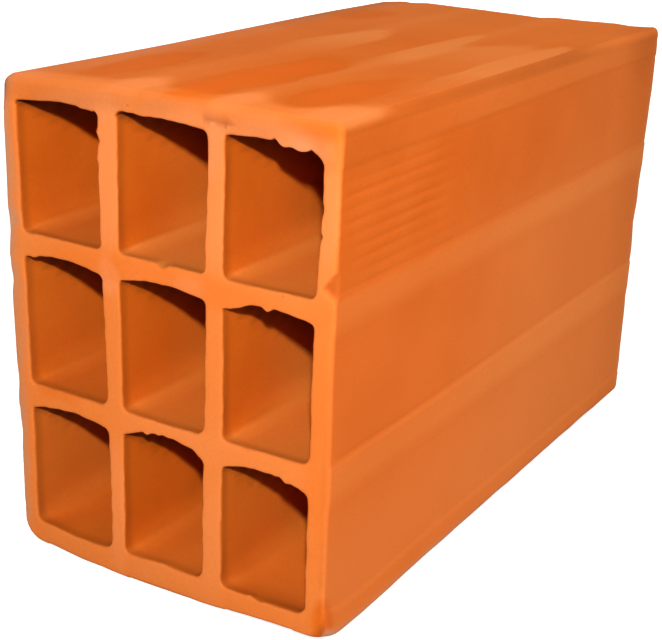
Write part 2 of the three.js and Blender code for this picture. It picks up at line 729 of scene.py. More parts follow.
@dataclass(frozen=True)
class Patch:
    """A soft-edged place on an outer face that differs from the rest of it.

    Attributes:
        face: Which face it is on.
        place: Its middle: distance across the face, then along Y.
        reach: How far it spreads either way, in the same order.
        amount: How strong it is; as a tone, above 0 for a paler one and below for a deeper one.
        soft: Where its edge begins to fade, as a share of the reach.
        uneven: How far its edge strays from round.
        trail: How far it thins out from its back tip to its front one, as a smear does.
    """

    face: Face
    place: tuple[float, float]
    reach: tuple[float, float]
    amount: float
    soft: float = 0.45
    uneven: float = 0.3
    trail: float = 0.0

    def share(self, points: np.ndarray, side: np.ndarray) -> np.ndarray:
        """How strong the patch is at each point.

        Args:
            points: Places, one a row.
            side: The face that each is on.

        Returns:
            The amount, faded towards the patch's edge.
        """
        across = points[:, X] if self.face in (Face.TOP, Face.UNDERSIDE) else points[:, Z]
        aside = (across - self.place[0]) / self.reach[0]
        ahead = (points[:, Y] - self.place[1]) / self.reach[1]
        wander = grain(points, (15, 30, 15), seed=71) + 0.4 * grain(points, (6, 16, 6), seed=72)
        gap = np.hypot(aside, ahead) * (1 + self.uneven * wander)
        thin = 1 - self.trail * smooth(0.7, -0.9, ahead)
        return self.amount * thin * smooth(1.0, self.soft, gap) * (side == self.face)


@dataclass(frozen=True)
class WearAndShade:
    """A tone that some part of the outer skin has over a stretch of the block, or a painted shade there.

    Attributes:
        mask: Which paint mask it adds to; PALE also takes deeper tones, below 0.
        amount: How strong it is.
        part: Which part of the outline has it.
        zone: Over which stretch.
        also: A second stretch that has it, if there is one.
        patchy: Whether it comes and goes.
    """

    mask: int
    amount: float
    part: Part
    zone: Zone = Zone()
    also: Zone | None = None
    patchy: bool = False

    def share(self, places: np.ndarray) -> np.ndarray:
        """How far each place lies in the one stretch or the other, from 0 to 1."""
        share = self.zone.share(places)
        return share if self.also is None else np.maximum(share, self.also.share(places))


@dataclass(frozen=True)
class Smear:
    """The slip that the wire dragged from the front cut over the top edge.

    Attributes:
        share: How much it hides what it lies on.
        run: How far it reaches.
        tongues: Where it reaches further: middle across the block, width and reach.
        fade: Ramp over which it thins out, as a share of its reach.
        tip: Ramp of the share of a tongue's width that dries pale.
        tip_run: Ramp over which that begins, from the cut.
        facing: Ramp of how far a place must face up to be smeared.
    """

    share: float = 0.85
    run: float = 16.0
    tongues: tuple[tuple[float, float, float], ...] = ((-18, 13, 34), (24, 13, 34), (64, 22, 36))
    fade: Ramp = (1.1, 0.6)
    tip: Ramp = (0.2, 0.7)
    tip_run: Ramp = (-4, 9)
    facing: Ramp = (0.4, 0.8)

    def paint(self, loop: Loop, places: np.ndarray, masks: np.ndarray, front: float) -> None:
        """Lays the slip over a ring's paint.

        Args:
            loop: The outline.
            places: The ring's places.
            masks: Their paint masks, in the order of MASKS.
            front: Where the front cut stands along Y.
        """
        run = places[:, Y] - front
        tongue = np.zeros(len(places))
        reach = np.full(len(places), self.run)
        for middle, width, length in self.tongues:
            bulge = hump(middle, width, places[:, X])
            tongue = np.maximum(tongue, bulge)
            reach = np.maximum(reach, self.run + (length - self.run) * bulge)
        reach *= 1 + 0.15 * grain(places, (9, 30, 20), seed=61)
        slip = self.share * ramped(self.fade, run / reach) * ramped(self.facing, loop.outward[:, 1])
        dried = 0.1 + 0.85 * ramped(self.tip, tongue) * ramped(self.tip_run, run)
        masks[:, CUT] = np.maximum(masks[:, CUT], slip)
        masks[:, PALE] = np.maximum(masks[:, PALE], slip * dried)


@dataclass(frozen=True)
class SkinTone:
    """How dusty and rubbed the outer skin is, and where shade is painted on it.

    Attributes:
        wear_and_shade: What time and handling did, part by part, and the shade painted on parts.
        patches: Single places that differ.
        band_dust: How pale the bands of the side faces are.
        web_dust: How pale the top is over the webs.
        web_reach: How far from a web's middle that reaches.
        band_foot: Ramp of a band's lower edge, from where the band begins.
        band_head: The same of its upper edge, from where it ends.
        crown_foot: The same of the highest band's lower edge.
        crown: Share of the dust that the highest band has all along.
        crown_gains: How much it gains, and over which ramp along the block.
    """

    wear_and_shade: tuple[WearAndShade, ...]
    patches: tuple[Patch, ...]
    band_dust: float = 0.36
    web_dust: float = 0.16
    web_reach: float = 10.0
    band_foot: Ramp = (-5, 3)
    band_head: Ramp = (0.8, -0.4)
    crown_foot: Ramp = (-0.8, 0.8)
    crown: float = 0.1
    crown_gains: tuple[tuple[float, Ramp], ...] = ((0.8, (-110, -20)), (-0.5, (60, 130)))

    def paint(self, section: Section, loop: Loop, places: np.ndarray, masks: np.ndarray) -> None:
        """Paints a ring of the outer skin.

        Args:
            section: The section that the ring is of.
            loop: The outline.
            places: The ring's places.
            masks: Their paint masks, in the order of MASKS.
        """
        parts = loop.parts()
        patchy = 0.7 + 0.5 * grain(places, (8, 16, 8), seed=62)
        for wear_and_shade in self.wear_and_shade:
            share = wear_and_shade.amount * parts[wear_and_shade.part] * wear_and_shade.share(places)
            masks[:, wear_and_shade.mask] += share * patchy if wear_and_shade.patchy else share
        tone = masks[:, PALE] + self.band_dust * self.on_bands(section, loop, places) * parts[Part.SIDES]
        for middle in section.web_middles(Face.TOP):
            tone += self.web_dust * hump(middle, self.web_reach, loop.along) * parts[Part.TOP]
        for patch in self.patches:
            tone += patch.share(places, loop.side)
        masks[:, PALE], masks[:, DEEP] = np.clip(tone, 0, 1), np.clip(-tone, 0, 1)

    def on_bands(self, section: Section, loop: Loop, places: np.ndarray) -> np.ndarray:
        """How dusty each place of the side faces is from lying on a band.

        Args:
            section: The section that the ring is of.
            loop: The outline.
            places: The ring's places.

        Returns:
            A share from 0 to 1 for each place.
        """
        rise = loop.flat[:, 1] - section.height / 2
        half = section.web_band / 2
        dust = np.full(len(places), self.crown)
        for gain, ramp in self.crown_gains:
            dust += gain * ramped(ramp, places[:, Y])
        dust *= ramped(self.crown_foot, rise - (section.height / 2 - section.corner_band))
        for middle in section.web_middles(Face.RIGHT):
            lower = ramped(self.band_foot, rise - middle + half)
            dust += lower * ramped(self.band_head, rise - middle - half)
        return np.clip(dust, 0, 1)


@dataclass(frozen=True)
class ShadePatch:
    """A place of painted shade on the left wall inside a cell, deep where the light does not reach.

    Attributes:
        cell: Row and column of the cell.
        place: Its middle: depth from the front cut, then height above the underside.
        reach: How far it spreads either way, in the same order.
        amount: How dark its painted shade is.
    """

    cell: tuple[int, int]
    place: tuple[float, float]
    reach: tuple[float, float]
    amount: float


@dataclass(frozen=True)
class LiningTone:
    """How dusty the cells are inside, and where shade is painted in them. Ramps without a note are depths
    from the cut.

    Attributes:
        floor_dust: Dust on each cell's floor, by row and column.
        wall_dust: Dust on its walls at the mouth.
        deep_dust: How much more the walls have inside.
        deep: Where that comes in.
        floor_facing: Ramp of how far up a place faces to be floor.
        roof_facing: Ramp of how far down it faces to be roof.
        low_dust: Share of the floor's dust on the foot of the walls.
        low_height: Ramp of the height above the floor that it reaches.
        low_run: Where it comes in.
        roof_run: Where the painted shade on the roof comes in.
        floor_shade: Painted shade on the floor at the mouth, towards the right wall, where that wall's
            shadow falls.
        floor_across: Ramp of the place across the cell, in cell widths.
        floor_run: Where it goes out.
        fillet_shade: Painted shade in the fillet along the floor's left edge.
        fillet_run: Where it comes in.
        wedge_shade: Painted shade on the walls, in the wedge that the roof's shadow covers.
        slopes: How steeply that wedge widens inwards, for each row.
        slope_run: Depth at which it stops widening.
        blur: Width of the wedge's soft edge, what it gains with depth, and up to what depth.
        wedge_run: Where the wedge begins.
        thinning: How much it thins, and where.
        back_share: Share of it at the back cut.
        mouth_shade: Painted shade on walls and floor just behind the lips.
        mouth_run: Where that goes out.
        foot_shade: Painted shade on the foot of the walls.
        foot_height: Ramp of the height above the floor that it reaches.
        foot_run: Where it goes out.
        shade_patches: Single places of painted shade.
    """

    shade_patches: tuple[ShadePatch, ...]
    floor_dust: tuple[tuple[float, ...], ...] = ((0.2, 0.3, 0.3), (0.3, 0.6, 0.7), (0.5, 1.0, 0.8))
    wall_dust: tuple[tuple[float, ...], ...] = ((0.3, 0.0, 0.15), (0.1, 0.0, 0.0), (0.0, 0.0, 0.0))
    deep_dust: tuple[tuple[float, ...], ...] = ((0.0, 0.0, 0.1), (0.0, 0.25, 0.5), (0.0, 0.3, 0.2))
    deep: Ramp = (12, 60)
    floor_facing: Ramp = (0.3, 1.0)
    roof_facing: Ramp = (-0.2, -0.9)
    low_dust: float = 0.25
    low_height: Ramp = (22, 2)
    low_run: Ramp = (6, 32)
    roof_run: Ramp = (0.3, 2)
    floor_shade: float = 0.1
    floor_across: Ramp = (-0.1, 0.4)
    floor_run: Ramp = (24, 4)
    fillet_shade: float = 0.12
    fillet_run: Ramp = (1, 12)
    wedge_shade: float = 0.95
    slopes: tuple[float, ...] = (0.58, 0.50, 0.42)
    slope_run: float = 60.0
    blur: tuple[float, float, float] = (2.6, 0.1, 50.0)
    wedge_run: Ramp = (0, 1.5)
    thinning: tuple[float, Ramp] = (0.35, (5, 45))
    back_share: float = 0.4
    mouth_shade: float = 0.3
    mouth_run: Ramp = (6, 1.5)
    foot_shade: float = 0.10
    foot_height: Ramp = (32, 5)
    foot_run: Ramp = (50, 12)

    def dust(self, section: Section, loop: Loop, depth: float) -> np.ndarray:
        """Dust on a cell's lining.

        Args:
            section: The section that the cell is in.
            loop: The cell's edge.
            depth: How far in from the cut it is.

        Returns:
            The share of dust at each point.
        """
        row, column = loop.cell
        over_floor = self.over_floor(section, loop)
        floor = ramped(self.floor_facing, loop.outward[:, 1])
        wall = self.wall_dust[row][column] + self.deep_dust[row][column] * ramped(self.deep, depth)
        low = self.low_dust * ramped(self.low_height, over_floor) * ramped(self.low_run, depth)
        wall = wall + low * self.floor_dust[row][column]
        return wall * (1 - floor) + self.floor_dust[row][column] * floor

    def painted_shade(self, section: Section, loop: Loop, inward: np.ndarray, depth: float, end: End) -> np.ndarray:
        """Painted shade on a cell's lining.

        Args:
            section: The section that the cell is in.
            loop: The cell's edge.
            inward: How deep each point lies in the fillet, from 0 to 1.
            depth: How far in from the cut it is.
            end: Which cut.

        Returns:
            The share of painted shade at each point.
        """
        middle = section.cell_middle(*loop.cell)
        up = loop.outward[:, 1]
        over_floor = self.over_floor(section, loop)
        floor = ramped(self.floor_facing, up)
        across = (loop.flat[:, 0] - middle[0]) / section.cell_width
        # Painted shade: the roofs, the floor by the right wall, the fillet, the wedge in the roof's
        # shadow, the mouths and the walls' feet are darkened.
        painted_shade = ramped(self.roof_facing, up) * ramped(self.roof_run, depth)
        painted_shade += self.floor_shade * floor * ramped(self.floor_across, across) * ramped(self.floor_run, depth)
        painted_shade += self.fillet_shade * inward * ramped(self.fillet_run, depth)
        reached = self.slopes[loop.cell[0]] * min(depth, self.slope_run)
        sharp, spread, limit = self.blur
        under_roof = section.cell_height - over_floor
        wedge = smooth(0.8, -0.8, (under_roof - reached) / (sharp + spread * min(depth, limit)))
        lost, run = self.thinning
        wedge *= (1 - lost * ramped(run, depth)) * (1.0 if end is End.FRONT else self.back_share)
        painted_shade += self.wedge_shade * wedge * ramped(self.wedge_run, depth) * (up < 0.5)
        painted_shade += self.mouth_shade * ramped(self.mouth_run, depth) * (up > -0.2)
        foot = ramped(self.foot_height, over_floor) * (1 - floor) * ramped(self.foot_run, depth)
        painted_shade += self.foot_shade * foot
        for shade_patch in self.shade_patches:
            if loop.cell == shade_patch.cell and end is End.FRONT:
                high = hump(shade_patch.place[1], shade_patch.reach[1], loop.flat[:, 1])
                deep = hump(shade_patch.place[0], shade_patch.reach[0], depth)
                painted_shade += shade_patch.amount * high * deep * (loop.outward[:, 0] > 0.5)
        return np.clip(painted_shade, 0, 1)

    def over_floor(self, section: Section, loop: Loop) -> np.ndarray:
        """Height of each point of a cell's edge above its floor."""
        return loop.flat[:, 1] - section.cell_middle(*loop.cell)[1] + section.cell_height / 2


@dataclass(frozen=True)
class CutTone:
    """A soft-edged place on the cuts where the clay's tone differs, or where shade is painted.

    Attributes:
        place: Its middle in the section, (x, z).
        reach: How far it spreads either way.
        dry: How much drier and paler it is.
        rich: How much fuller its orange is.
        shaded: How much shade is painted on it.
        worn: How rubbed and dusty it is; along the left edge this greying is painted shade.
    """

    place: tuple[float, float]
    reach: tuple[float, float]
    dry: float = 0.0
    rich: float = 0.0
    shaded: float = 0.0
    worn: float = 0.0

    def paint(self, flat: np.ndarray, masks: np.ndarray) -> None:
        """Adds the tone to the paint masks of places in the section.

        Args:
            flat: Places in the section, (x, z).
            masks: Their paint masks, in the order of MASKS.
        """
        gap = np.hypot(*((flat - np.array(self.place)) / np.array(self.reach)).T)
        gap *= 1 + 0.2 * grain(at_depth(flat, 0.0), 7.0, seed=73)
        share = smooth(1.0, 0.3, gap)
        for mask, amount in ((PALE, self.dry), (DEEP, self.rich), (PAINTED_SHADE, self.shaded), (WORN, self.worn)):
            masks[:, mask] += amount * share


# ---- The tools that shaped it ----


@dataclass(frozen=True)
class Comb:
    """The comb that pressed panels and grooves into the outer faces, and what slip left of them.

    Attributes:
        marks: Places where the grooves still show.
        recess: How far the panels lie below the bands.
        depth: How deep a groove is.
        top_relief: Share of both that the top has.
        faint: Share of the grooves that is left elsewhere.
        crease: Share of the depth along the lower edges of some panels.
        crease_lines: Heights of those edges.
        crease_reach: How near an edge has to be to them.
        crease_fade: How much of the crease goes, and the ramp along the block.
        start: About how far from the front cut the grooves begin.
        start_ease: Over what distance they reach their depth.
        start_share: Share of them before that.
        wobble: How far the grooves stray sideways.
        front_fill: How far the lower right corner stands out in front, its turn, and the ramp.
        rear_fill: How far the upper right corner stands out at the back, and the ramp.
    """

    marks: tuple[Patch, ...]
    recess: float = 0.3
    depth: float = 0.3
    top_relief: float = 0.35
    faint: float = 0.06
    crease: float = 0.9
    crease_lines: tuple[float, ...] = (71, 132, 173)
    crease_reach: float = 6.0
    crease_fade: tuple[float, Ramp] = (0.5, (-65, 45))
    start: float = 9.0
    start_ease: float = 8.0
    start_share: float = 0.3
    wobble: float = 0.3
    front_fill: tuple[float, float, Ramp] = (1.0, 1.5, (-105, 115))
    rear_fill: tuple[float, Ramp] = (1.2, (-85, 95))

    def bite(self, loop: Loop, y: np.ndarray, front: float) -> np.ndarray:
        """How hard the comb pressed at each point of a ring.

        Args:
            loop: The outline.
            y: Where each of the ring's points stands along the block.
            front: Where the front cut stands.

        Returns:
            The share of the full groove depth, from 0 to about 1.5.
        """
        places = at_depth(loop.flat, y)
        bite = self.faint * (1 + grain(places, (38, 60, 26), seed=3))
        for mark in self.marks:
            bite += mark.share(places, loop.side)
        border = loop.groove * (np.abs(np.gradient(loop.panel)) > 0)
        border *= sum(hump(line, self.crease_reach, loop.flat[:, 1]) for line in self.crease_lines)
        lost, run = self.crease_fade
        bite += border * self.crease * (1 - lost * ramped(run, y))
        start = self.start * (1 + 0.9 * grain(places, (9, FAR, 4), seed=6))
        begun = smooth(self.start_share * start, start + self.start_ease, y - front)
        bite *= self.start_share + (1 - self.start_share) * begun
        return bite * loop.groove * (0.75 + 0.5 * grain(places, (5, 9, 5), seed=4))

    def press(self, loop: Loop, y: np.ndarray, front: float) -> tuple[np.ndarray, np.ndarray]:
        """Presses the panels and grooves into a ring of the outer skin.

        Args:
            loop: The outline.
            y: Where each of the ring's points stands along the block.
            front: Where the front cut stands.

        Returns:
            The ring's places in the section, and how deep the comb bit at each.
        """
        bite = self.bite(loop, y, front)
        across, up = loop.outward.T
        relief = np.where(loop.side == Face.TOP, self.top_relief, 1.0)
        depth = (self.recess * loop.panel + self.depth * bite) * relief
        along = np.column_stack([loop.along, y, loop.side])
        aside = self.wobble * loop.panel * grain(along, (30, 24, 1), seed=5)
        flat = loop.flat - loop.outward * depth[:, None] + np.column_stack([-up, across]) * aside[:, None]
        corner = np.abs(loop.outward).min(1) * smooth(0.0, 0.3, across)
        fill, turn, run = self.front_fill
        lower = fill * (1 - turn * ramped(run, y)) * smooth(0.0, 0.3, -up)
        fill, run = self.rear_fill
        upper = fill * ramped(run, y) * smooth(0.0, 0.3, up)
        return flat + loop.outward * (corner * (lower + upper))[:, None], bite


@dataclass(frozen=True)
class WireCut:
    """The face that the wire left at one end.

    Attributes:
        end: Which end.
        tones: Places where its tone differs.
        rounds: Radius to which its edge is worn on each face.
        wave: Size of its slow waves.
        sink: How far it lies inside the box, left of the drawn corner.
        corner: How far it lies inside at the right edge, as (height, depth).
        fray: How unevenly that corner is frayed.
        rim: How far the top edge is broken back, as (place across, depth).
        drawn: Ramp across the block over which the drawn corner comes in.
        rim_height: Ramp of heights of the broken top edge.
        uneven: How unevenly the edges are worn.
        lip_round: Radius to which the cells' lips are worn.
        ragged: How far the lips' ragged edge hangs.
        ragged_depth: How far in from the cut it goes.
        edge_wear: How rubbed the outline's edge is.
        edge_run: Ramp over which that goes out.
        slip_height: Ramp of heights over which slip covers the cut's top edge.
    """

    end: End
    tones: tuple[CutTone, ...]
    rounds: tuple[float, float, float, float]
    wave: float
    sink: float
    corner: tuple[tuple[float, float], ...]
    fray: float = 0.0
    rim: tuple[tuple[float, float], ...] = ((0, 0),)
    edge_wear: float = 0.0
    drawn: Ramp = (24, 60)
    rim_height: Ramp = (170, 188)
    uneven: float = 0.35
    lip_round: float = 0.85
    ragged: float = 0.24
    ragged_depth: float = 1.6
    edge_run: Ramp = (6, 1)
    slip_height: Ramp = (181, 187)

    def own_plane(self, flat: np.ndarray, distance: float) -> np.ndarray:
        """Lifts points of the section to a plane on which this end has its own patterns."""
        return at_depth(flat, self.end.value * distance)

    def edge_size(self, loop: Loop) -> np.ndarray:
        """Radius to which the cut's edge is worn, at each point of a loop."""
        if loop.cell is None:
            size = np.array(self.rounds)[loop.side.astype(int)]
            eased = np.convolve(np.tile(size, 3), np.ones(15) / 15, "same")
            size = eased[len(size) : 2 * len(size)]
        else:
            size = np.full(len(loop.flat), self.lip_round)
        return size * (1 + self.uneven * grain(self.own_plane(loop.flat, 300.0), 14.0, seed=31))

    def sunk(self, flat: np.ndarray) -> np.ndarray:
        """How far the cut lies inside the box.

        Args:
            flat: Places in the section.

        Returns:
            A depth of at least 0 for each place.
        """
        x, z = flat.T
        places = self.own_plane(flat, FAR)
        slow = 0.5 + 0.5 * grain(places, (60, FAR, 45), seed=41)
        drag = 0.04 * grain(places, (3, FAR, 60), seed=42)
        pits = 0.05 * grain(places, (2.6, FAR, 2.6), seed=43)
        corner = np.interp(z, *zip(*self.corner))
        frayed = self.fray * grain(places, (20, FAR, 9), seed=44) * (corner > 0)
        corner = np.maximum(corner + frayed, 0)
        drawn = ramped(self.drawn, x)
        foot, head = self.rim_height
        rim = np.interp(x, *zip(*self.rim)) * np.clip((z - foot) / (head - foot), 0, 1) ** 2
        level = self.sink * (1 - drawn) + corner * drawn + rim
        return self.wave * slow + drag + pits + 0.1 + level

    def torn(self, loop: Loop, depth: float) -> np.ndarray:
        """How far the ragged lip hangs into a cell, at each point of a ring some way in."""
        places = self.own_plane(loop.flat, 500.0)
        hang = grain(places, 2.4, seed=21) + grain(places, 6.0, seed=22)
        return self.ragged * hang * math.exp(-((depth / self.ragged_depth) ** 2))

    def paint(self, flat: np.ndarray, smear: Smear) -> np.ndarray:
        """Paint masks of the cut.

        Args:
            flat: Places in the section.
            smear: The slip that covers the top edge.

        Returns:
            The masks, in the order of MASKS.
        """
        masks = np.zeros((len(flat), len(MASKS)))
        masks[:, CUT] = 1 - (1 - smear.share) * ramped(self.slip_height, flat[:, 1])
        for tone in self.tones:
            tone.paint(flat, masks)
        return np.clip(masks, 0, 1)


# ---- Mesh assembly ----


@dataclass
class Shell:
    """Collects rings, strips and caps into one closed mesh."""

    points: list[np.ndarray] = field(default_factory=list)
    masks: list[np.ndarray] = field(default_factory=list)
    quads: list[np.ndarray] = field(default_factory=list)
    triangles: list[np.ndarray] = field(default_factory=list)
    count: int = 0

    def add_points(self, points: np.ndarray, masks: np.ndarray) -> np.ndarray:
        """Adds points with their paint masks and returns their indices."""
        first = self.count
        self.points.append(points)
        self.masks.append(masks)
        self.count += len(points)
        return np.arange(first, self.count)

    def join_rings(self, front: np.ndarray, back: np.ndarray) -> None:
        """Skins the strip between two rings, of one length or of two to one.

        Args:
            front: Indices of the ring nearer the front cut.
            back: Indices of the other.
        """
        next_front, next_back = np.roll(front, -1), np.roll(back, -1)
        if len(front) == len(back):
            self.quads.append(np.column_stack([front, back, next_back, next_front]))
        elif len(front) > len(back):
            even, odd, after = front[::2], front[1::2], next_front[1::2]
            corners = ((even, back, odd), (odd, back, next_back), (odd, next_back, after))
            self.triangles += [np.column_stack(corner) for corner in corners]
        else:
            even, odd, after = back[::2], back[1::2], next_back[1::2]
            corners = ((even, odd, front), (odd, next_front, front), (odd, after, next_front))
            self.triangles += [np.column_stack(corner) for corner in corners]

    def mesh(self, name: str) -> bpy.types.Mesh:
        """Makes the mesh, in metres, with one float attribute for each paint mask.

        Args:
            name: What the mesh is called.

        Returns:
            The mesh.
        """
        made = bpy.data.meshes.new(name)
        faces = [face for block in (*self.quads, *self.triangles) for face in block.tolist()]
        made.from_pydata((np.vstack(self.points) * MM).tolist(), [], faces)
        masks = np.vstack(self.masks).astype(np.float32)
        for mask_name, values in zip(MASKS, masks.T):
            layer = made.attributes.new(mask_name, "FLOAT", "POINT")
            layer.data.foreach_set("value", np.ascontiguousarray(values))
        made.validate()
        made.update()
        made.shade_smooth()
        return made


def inside(points: np.ndarray, loops: list[np.ndarray]) -> np.ndarray:
    """Whether each point lies in the clay, by counting the edges that a level line crosses.

    Args:
        points: Places in the section, one a row.
        loops: The outline and the cells' edges.

    Returns:
        True for each point in the clay.
    """
    x, z = points.T
    within = np.zeros(len(points), bool)
    for loop in loops:
        for (x0, z0), (x1, z1) in zip(loop, np.roll(loop, -1, axis=0)):
            if z0 != z1:
                crosses = (z0 > z) != (z1 > z)
                within ^= crosses & (x < x0 + (z - z0) * (x1 - x0) / (z1 - z0))
    return within


def filled(loops: list[np.ndarray], spacing: float) -> tuple[np.ndarray, np.ndarray]:
    """Fills the section with triangles.

    Args:
        loops: The outline and the cells' edges, each (x, z) a row.
        spacing: Distance between the points inside.

    Returns:
        The added points, and triangles whose indices count the loops' points first.
    """
    low, high = loops[0].min(0), loops[0].max(0)
    rise = spacing * math.sqrt(3) / 2
    lattice = []
    for row, z in enumerate(np.arange(low[1] + rise / 2, high[1], rise)):
        xs = np.arange(low[0] + spacing * (0.25 + 0.5 * (row % 2)), high[0], spacing)
        lattice.append(np.column_stack([xs, np.full(len(xs), z)]))
    candidates = np.vstack(lattice)
    candidates = candidates[inside(candidates, loops)]
    border = np.vstack(loops)
    clearance = 0.62 * spacing
    batches = np.array_split(candidates, 40)
    gaps = [np.linalg.norm(batch[:, None] - border, axis=2).min(1) for batch in batches]
    added = candidates[np.concatenate(gaps) > clearance]
    points = np.vstack([border, added])
    edges, first = [], 0
    for loop in loops:
        ring = np.arange(first, first + len(loop))
        edges += np.column_stack([ring, np.roll(ring, -1)]).tolist()
        first += len(loop)
    corners = [Vector(point) for point in points.tolist()]
    kept, _, faces, origins, _, _ = geometry.delaunay_2d_cdt(corners, edges, [], 0, 1e-5, True)
    if len(kept) != len(points):
        log.warning("the cut face merged %d points", len(points) - len(kept))
    triangles = np.array([ids[0] for ids in origins])[np.array(faces)]
    return added, triangles[inside(points[triangles].mean(1), loops)]


# ---- The block ----


@dataclass(frozen=True)
class Station:
    """One ring's place near an end.

    Attributes:
        run: How far it lies beyond the edge's round.
        inset: How far the ring draws in, as a share of that round.
        sink: How far it lies from the cut, as a share of the round.
    """

    run: float
    inset: float = 0.0
    sink: float = 1.0


def round_stations(steps: int = 4) -> list[Station]:
    """Rings round the cut's edge, from the cut to where the skin is straight."""
    angles = [math.pi / 2 * i / (steps - 1) for i in range(steps)]
    return [Station(0.0, 1 - math.sin(angle), 1 - math.cos(angle)) for angle in angles]


@dataclass
class HollowBrick:
    """The fired block: one closed mesh inside the construction model's box.

    Attributes:
        low: Lowest corner of the box.
        high: Highest corner of the box.
        comb: What combed its faces.
        cuts: The faces that the wire left, the front one first.
        smear: The slip over its top edge.
        skin: The outer skin's tones and the shade painted on it.
        lining: The cells' tones and the shade painted in them.
        settling: How it slumped.
        flaws: Torn places on the front lips.
        chips: Places broken from its edges.
        flakes: Scales gone from the front cut.
        skin_margin: Room left beside the skin for what settles outwards.
        crown_room: Room left above the top.
        fillet: Radius inside the cells' lower left corners.
        fillet_run: Ramp over which it comes in behind the lips.
        cut_grid: Spacing of the mesh on the cuts.
        skin_pitch: Spacing of its rings along the skin.
        lining_pitch: The same along the cells.
        near_runs: Where the rings near a cut lie; the cells have those in the lip's reach.
        lip_reach: How far in the lips change the cells' shape.
    """

    low: np.ndarray
    high: np.ndarray
    comb: Comb
    cuts: tuple[WireCut, WireCut]
    smear: Smear
    skin: SkinTone
    lining: LiningTone
    settling: Settling
    flaws: tuple[LipFlaw, ...]
    chips: tuple[Chip, ...]
    flakes: tuple[Flake, ...]
    skin_margin: float = 0.35
    crown_room: float = 2.0
    fillet: float = 8.5
    fillet_run: Ramp = (0.3, 12)
    cut_grid: float = 1.25
    skin_pitch: float = 6.5
    lining_pitch: float = 8.0
    near_runs: tuple[float, ...] = (0.7, 1.6, 2.8, 4.4, 6.6, 9.6, 13.4, 18.0, 23.5)
    lip_reach: float = 8.0

    def __post_init__(self) -> None:
        """Works out the section and the loops from the box."""
        width, length, height = self.high - self.low
        self.section = Section(width - 2 * self.skin_margin, height - self.crown_room)
        rows, columns = range(self.section.rows), range(self.section.columns)
        self.cells = [self.section.cell_edge(row, column) for row in rows for column in columns]
        self.half = length / 2

    def place_along(self, sink: np.ndarray, end: End) -> np.ndarray:
        """Turns depths from the box's face at one end into places along Y."""
        return self.low[Y] + sink if end is End.FRONT else self.high[Y] - sink

    def ring(self, loop: Loop, station: Station, cut: WireCut) -> tuple[np.ndarray, np.ndarray]:
        """Works out one ring.

        Args:
            loop: The outline or a cell's edge.
            station: Where the ring stands.
            cut: The cut that it is measured from.

        Returns:
            The places, one a row, and the masks in the order of MASKS.
        """
        edge = cut.edge_size(loop) * (1 - min(1.0, 2 * station.run / self.half))
        wave = cut.sunk(loop.flat) * (1 - station.run / self.half)
        y = self.place_along(wave + edge * station.sink + station.run, cut.end)
        drawn_in = loop.outward * (edge * station.inset)[:, None]
        masks = np.zeros((len(loop.flat), len(MASKS)))
        if loop.cell is None:
            pressed, masks[:, GROOVE] = self.comb.press(loop, y, self.low[Y])
            places = at_depth(pressed - drawn_in, y)
            self.skin.paint(self.section, loop, places, masks)
            worn = ramped(cut.edge_run, edge * station.sink + station.run)
            masks[:, WORN] += cut.edge_wear * worn
        else:
            depth = station.run + cut.lip_round * station.sink
            hang = cut.torn(loop, depth)
            if cut.end is End.FRONT:
                middle = self.section.cell_middle(*loop.cell)
                own = [flaw for flaw in self.flaws if loop.cell == (flaw.row, flaw.column)]
                hang = hang + sum(flaw.drop(loop, middle, depth) for flaw in own)
            places = at_depth(self.filleted(loop, depth) + loop.outward * hang[:, None] - drawn_in, y)
            masks[:, LINING] = 1.0
            masks[:, PALE] = self.lining.dust(self.section, loop, depth)
            masks[:, PAINTED_SHADE] = self.lining.painted_shade(self.section, loop, self.in_fillet(loop), depth, cut.end)
        if station.run == 0:
            share = 1 - station.sink
            masks = masks * (1 - share) + cut.paint(places[:, [X, Z]], self.smear) * share
        if loop.cell is None and cut.end is End.FRONT:
            self.smear.paint(loop, places, masks, self.low[Y])
        return places, masks

    def to_fillet(self, loop: Loop) -> np.ndarray:
        """From each point of a cell's edge to the middle of the fillet in its lower left corner."""
        half = np.array([self.section.cell_width, self.section.cell_height]) / 2
        return self.section.cell_middle(*loop.cell) - half + self.fillet - loop.flat

    def in_fillet(self, loop: Loop) -> np.ndarray:
        """How deep in the fillet each point of a cell's edge lies, from 0 to 1."""
        inward = self.to_fillet(loop)
        return np.clip(inward.min(1) / np.maximum(inward.max(1), self.fillet / 4), 0, 1)

    def filleted(self, loop: Loop, depth: float) -> np.ndarray:
        """Rounds a cell's lower left corner with the wide fillet that it has behind the lips.

        Args:
            loop: The cell's edge.
            depth: How far in from the cut it is.

        Returns:
            The places in the section.
        """
        inward = self.to_fillet(loop)
        reach = np.maximum(np.linalg.norm(inward, axis=1), 1e-6)
        pulled = (inward.min(1) > 0) * np.maximum(0.0, 1 - self.fillet / reach)
        return loop.flat + inward * (pulled * ramped(self.fillet_run, depth))[:, None]

